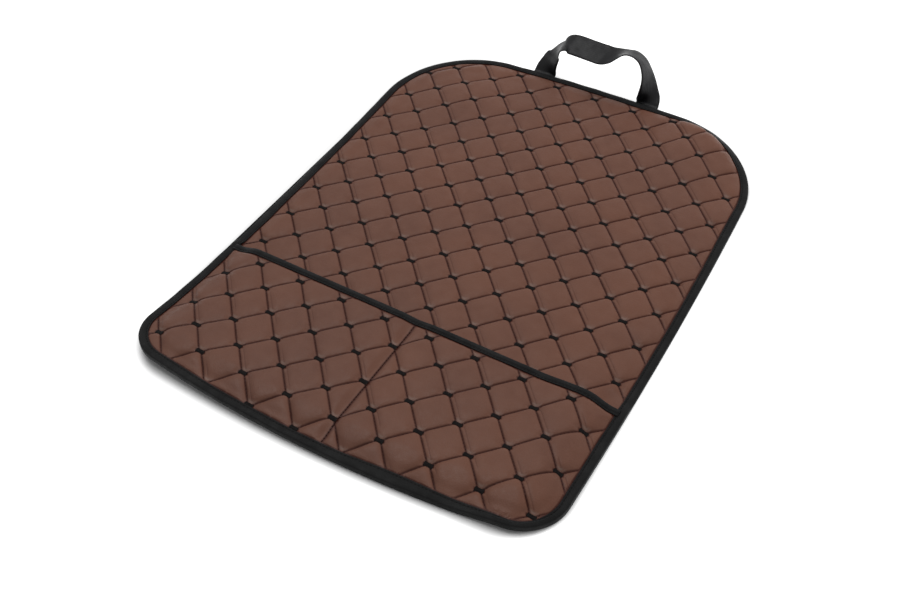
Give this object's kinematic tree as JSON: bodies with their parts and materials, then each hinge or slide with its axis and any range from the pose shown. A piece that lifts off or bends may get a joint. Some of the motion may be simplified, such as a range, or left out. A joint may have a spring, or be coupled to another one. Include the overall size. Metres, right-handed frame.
{
  "type": "car seat back organizer",
  "caption": "Quilted leatherette mat with rounded top corners, a divided pocket across its lower end, tape-bound edges and a webbing carrying loop at its top.",
  "frame": {"origin": "on the surface that the mat lies on, under the middle of the whole thing's box, loop included", "axes": "+Y towards the top edge and the carrying loop, +Z out of the quilted face, +X to the right as the quilted face is seen"},
  "size_m": [0.453, 0.6486, 0.0581],
  "materials": {
    "quilted_leatherette": "soft brown leatherette, satin, quilted in diamonds with dark thread",
    "binding_tape": "black woven polyester tape, dull",
    "webbing": "black woven webbing with a slight sheen"
  },
  "bodies": {
    "root": {"back_panel": "quilted_leatherette", "pocket_panel": "quilted_leatherette", "edge_binding": "binding_tape", "pocket_mouth_tape": "binding_tape", "carrying_loop": "webbing"}
  },
  "joints": []
}
